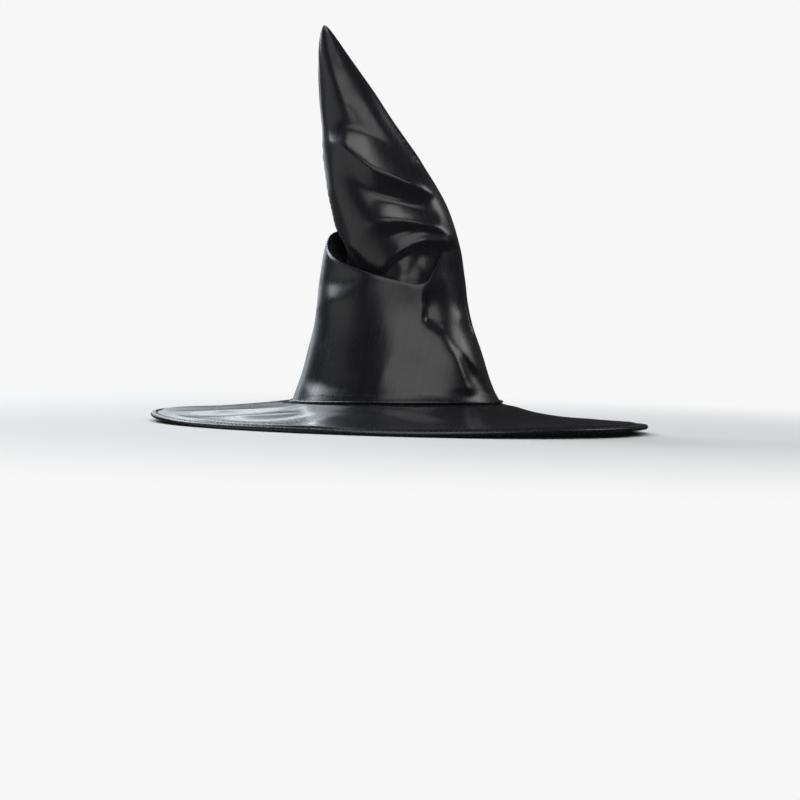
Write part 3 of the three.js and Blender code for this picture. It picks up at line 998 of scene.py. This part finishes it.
def add_floor():
    """A pale disc that fades into the background. The satin doesn't mirror it, and it casts no shadow."""
    mesh = bpy.data.meshes.new("floor")
    sides, radius = 96, 9.0
    rim = [(radius * math.cos(a), radius * math.sin(a), FLOOR_HEIGHT) for a in ring_headings(sides)]
    mesh.from_pydata(rim, [], [tuple(range(sides))])
    floor = bpy.data.objects.new("floor", mesh)
    bpy.context.scene.collection.objects.link(floor)
    material, tree, shader = new_material("pale_floor", (0.8, 0.8, 0.8), 0.8)
    place = tree.nodes.new("ShaderNodeTexCoord").outputs["Object"]
    distance = add_node(tree, "ShaderNodeVectorMath", operation="LENGTH")
    tree.links.new(place, distance.inputs[0])
    fade = add_node(tree, "ShaderNodeMapRange", interpolation_type="SMOOTHSTEP")
    fade.inputs["From Min"].default_value = 0.22
    fade.inputs["From Max"].default_value = 1.0
    tree.links.new(distance.outputs["Value"], fade.inputs["Value"])
    glow = add_node(tree, "ShaderNodeEmission")
    glow.inputs["Color"].default_value = (*BACKGROUND, 1)
    mix = tree.nodes.new("ShaderNodeMixShader")
    tree.links.new(fade.outputs["Result"], mix.inputs["Fac"])
    tree.links.new(shader.outputs["BSDF"], mix.inputs[1])
    tree.links.new(glow.outputs["Emission"], mix.inputs[2])
    tree.links.new(mix.outputs["Shader"], tree.nodes["Material Output"].inputs["Surface"])
    mesh.materials.append(material)
    floor.visible_glossy = False
    floor.visible_shadow = False


def light_towards(tree, direction, side, begins, darkest, brightest):
    """Light that grows as a direction turns towards one side of the room."""
    facing = add_node(tree, "ShaderNodeVectorMath", operation="DOT_PRODUCT")
    facing.inputs[1].default_value = side
    tree.links.new(direction, facing.inputs[0])
    light = add_node(tree, "ShaderNodeMapRange", interpolation_type="SMOOTHSTEP")
    light.inputs["From Min"].default_value = begins
    light.inputs["From Max"].default_value = 0.95
    light.inputs["To Min"].default_value = darkest
    light.inputs["To Max"].default_value = brightest
    tree.links.new(facing.outputs["Value"], light.inputs["Value"])
    return light.outputs["Result"]


def add_world():
    """The camera sees a plain pale background. The satin mirrors the dark room and its glow instead."""
    world = bpy.data.worlds.new("studio")
    bpy.context.scene.world = world
    world.use_nodes = True
    tree = world.node_tree
    room = tree.nodes["Background"]
    room.inputs["Color"].default_value = (1, 1, 1, 1)
    direction = tree.nodes.new("ShaderNodeTexCoord").outputs["Generated"]
    wall = light_towards(tree, direction, (-TOWARD[0], -TOWARD[1], 0), 0.6, ROOM_LIGHT, WALL_LIGHT)
    left = Vector((*(TOWARD * math.cos(BOUNCE_TURN) - RIGHT * math.sin(BOUNCE_TURN)), BOUNCE_DROP))
    bounce = light_towards(tree, direction, left.normalized(), 0.7, 0, BOUNCE_LIGHT)
    both = add_node(tree, "ShaderNodeMath", operation="ADD")
    tree.links.new(wall, both.inputs[0])
    tree.links.new(bounce, both.inputs[1])
    tree.links.new(both.outputs["Value"], room.inputs["Strength"])
    seen = tree.nodes.new("ShaderNodeBackground")
    seen.inputs["Color"].default_value = (*BACKGROUND, 1)
    paths = tree.nodes.new("ShaderNodeLightPath")
    mix = tree.nodes.new("ShaderNodeMixShader")
    tree.links.new(paths.outputs["Is Camera Ray"], mix.inputs["Fac"])
    tree.links.new(room.outputs["Background"], mix.inputs[1])
    tree.links.new(seen.outputs["Background"], mix.inputs[2])
    tree.links.new(mix.outputs["Shader"], tree.nodes["World Output"].inputs["Surface"])


bpy.context.scene.view_settings.view_transform = "Standard"
add_camera()
add_world()
add_floor()
for softbox in SOFTBOXES:
    add_softbox(*softbox)
make_crown()
make_insides()
make_brim_cloth("brim_top_satin", "brim_top", BRIM_TOP, 1.0, False)
make_brim_cloth("brim_bottom_satin", "brim_bottom", 0.7, -0.2, True)
make_binding()
make_piping()
make_all_stitches()
make_brim_core()
paint_cad_node("brim_wire", STEEL)
paint_cad_node("wire_ferrule", STEEL)
